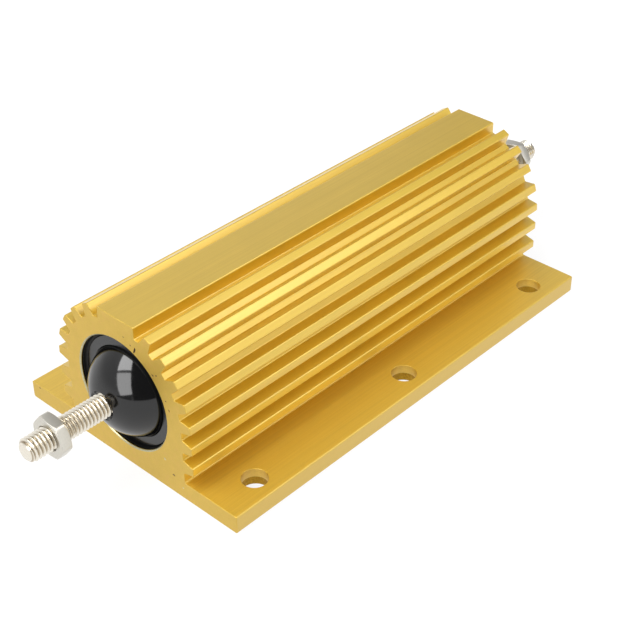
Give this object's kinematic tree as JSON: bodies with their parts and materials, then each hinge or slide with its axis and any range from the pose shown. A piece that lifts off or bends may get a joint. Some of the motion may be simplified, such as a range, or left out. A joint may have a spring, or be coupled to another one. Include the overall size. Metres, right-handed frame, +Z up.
{
  "type": "aluminium housed power resistor",
  "caption": "Finned aluminium housed wirewound power resistor on a drilled mounting flange, with a domed plug, threaded terminal stud and thin nut at each end.",
  "frame": {"origin": "centre of the mounting face, under the middle of the housing", "axes": "+X along the terminal axis, +Y across the mounting flange, +Z up from the mounting face to the top land"},
  "size_m": [0.182, 0.0714, 0.041],
  "materials": {
    "gold_anodised": "satin",
    "black_moulding": "gloss",
    "black_silicone": "satin",
    "plated_stud": "satin",
    "plated_nut": "satin",
    "ferrule_brass": "satin",
    "core_ceramic": "matte",
    "resistance_wire": "satin",
    "filling_compound": "matte"
  },
  "bodies": {
    "root": {"housing": "gold_anodised", "plug_a": "black_moulding", "plug_b": "black_moulding", "seal_a": "black_silicone", "seal_b": "black_silicone", "stud_a": "plated_stud", "stud_b": "plated_stud", "nut_a": "plated_nut", "nut_b": "plated_nut", "ferrule_a": "ferrule_brass", "ferrule_b": "ferrule_brass", "core": "core_ceramic", "winding": "resistance_wire", "filling": "filling_compound"}
  },
  "joints": []
}
